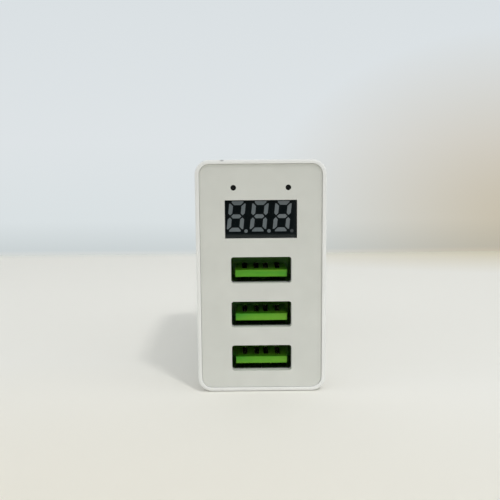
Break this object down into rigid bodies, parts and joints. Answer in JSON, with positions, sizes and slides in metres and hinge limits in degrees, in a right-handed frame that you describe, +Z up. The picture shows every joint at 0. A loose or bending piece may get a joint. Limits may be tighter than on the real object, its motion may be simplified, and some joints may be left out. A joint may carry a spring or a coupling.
{
  "type": "usb charger",
  "caption": "Plug-in mains wall charger: an upright white case with stacked USB-A ports and a numeric display on its front, and a boss with round mains pins at the back.",
  "frame": {"origin": "centre of the whole object's base, on the surface it stands on", "axes": "+X across the case to the right as seen from the front, +Y from the ports to the mains pins, +Z up along the row of ports"},
  "size_m": [0.027, 0.083, 0.0488],
  "materials": {
    "white_plastic": "smooth moulded, semi-gloss",
    "panel_plastic": "fine matte texture, warm light grey",
    "inner_plastic": "plain moulded",
    "pin_metal": "nickel-plated, fine turning marks",
    "sleeve_plastic": "satin black",
    "brown_lead": "satin",
    "blue_lead": "satin",
    "display_black": "smooth, dark",
    "segment_grey": "unlit milky resin",
    "indicator_lens": "unlit milky resin",
    "shell_steel": "nickel-plated sheet",
    "green_plastic": "smooth moulded, bright green",
    "contact_metal": "gold flash",
    "lead_metal": "tinned wire",
    "green_board": "solder resist",
    "tan_board": "plain laminate",
    "chip_black": "moulded epoxy",
    "ferrite": "sintered, matte",
    "tape_yellow": "polyester tape",
    "copper_wire": "enamelled wire",
    "capacitor_sleeve": "shrunk sleeve",
    "capacitor_blue": "dipped epoxy",
    "resistor_coat": "lacquered"
  },
  "bodies": {
    "root": {"case": "white_plastic", "plug_cover": "white_plastic", "front_panel": "panel_plastic", "pin_retainer": "inner_plastic", "live_pin": "pin_metal", "neutral_pin": "pin_metal", "live_pin_sleeve": "sleeve_plastic", "neutral_pin_sleeve": "sleeve_plastic", "live_lead": "brown_lead", "neutral_lead": "blue_lead", "display_housing": "display_black", "display_segments": "segment_grey", "display_pins": "lead_metal", "indicator_left": "indicator_lens", "indicator_right": "indicator_lens", "indicator_leads": "lead_metal", "usb_shell_1": "shell_steel", "usb_shell_2": "shell_steel", "usb_shell_3": "shell_steel", "usb_tongue_1": "green_plastic", "usb_tongue_2": "green_plastic", "usb_tongue_3": "green_plastic", "usb_contacts_1": "contact_metal", "usb_contacts_2": "contact_metal", "usb_contacts_3": "contact_metal", "front_board": "green_board", "power_board": "tan_board", "display_driver": "chip_black", "chip_resistors": "chip_black", "board_header": "chip_black", "header_pins": "contact_metal", "transformer_core": "ferrite", "transformer_bobbin": "chip_black", "transformer_winding": "tape_yellow", "input_capacitor_1": "capacitor_sleeve", "input_capacitor_2": "capacitor_sleeve", "output_capacitor_1": "capacitor_sleeve", "output_capacitor_2": "capacitor_sleeve", "bridge_rectifier": "chip_black", "fusible_resistor": "resistor_coat", "controller_chip": "chip_black", "optocoupler": "chip_black", "output_diode": "chip_black", "choke_core": "ferrite", "choke_winding": "copper_wire", "safety_capacitor": "capacitor_blue", "component_leads": "lead_metal"}
  },
  "joints": []
}
